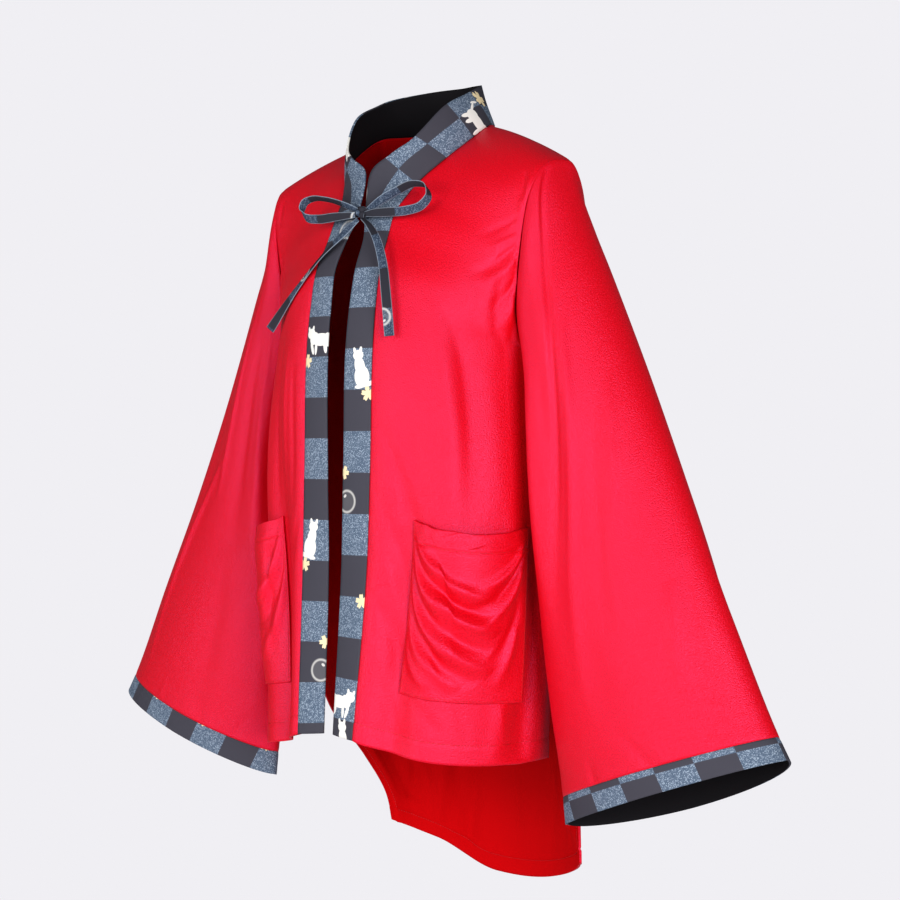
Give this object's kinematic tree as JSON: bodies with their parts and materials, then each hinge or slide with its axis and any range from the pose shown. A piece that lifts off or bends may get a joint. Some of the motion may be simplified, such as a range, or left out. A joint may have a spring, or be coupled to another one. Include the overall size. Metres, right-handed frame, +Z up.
{
  "type": "haori",
  "caption": "Open-fronted haori in worn shape: red cloth, wide sleeves, checked neck band, cuffs and tied bow, patch pockets, long rounded tail between side slits.",
  "frame": {"origin": "midline of the neck opening at the height where the neck band meets the shoulder, where a wearer's shoulders hold it", "axes": "+X to the wearer's left, +Y to the wearer's back, +Z up; it faces -Y"},
  "size_m": [0.934, 0.3269, 0.9031],
  "materials": {
    "red_cloth": "smooth satin-faced polyester with a soft sheen",
    "checked_cloth": "matt cotton-like print of dark and slate squares",
    "tie_cloth": "matt print, folded to a narrow strip"
  },
  "bodies": {
    "root": {"back": "red_cloth", "front_left": "red_cloth", "front_right": "red_cloth", "sleeve_left": "red_cloth", "sleeve_right": "red_cloth", "pocket_left": "red_cloth", "pocket_right": "red_cloth", "collar": "checked_cloth", "band_left": "checked_cloth", "band_right": "checked_cloth", "cuff_left": "checked_cloth", "cuff_right": "checked_cloth", "tie_knot": "tie_cloth", "tie_loop_left": "tie_cloth", "tie_loop_right": "tie_cloth", "tie_tail_left": "tie_cloth", "tie_tail_right": "tie_cloth", "tie_root_left": "tie_cloth", "tie_root_right": "tie_cloth"}
  },
  "joints": []
}
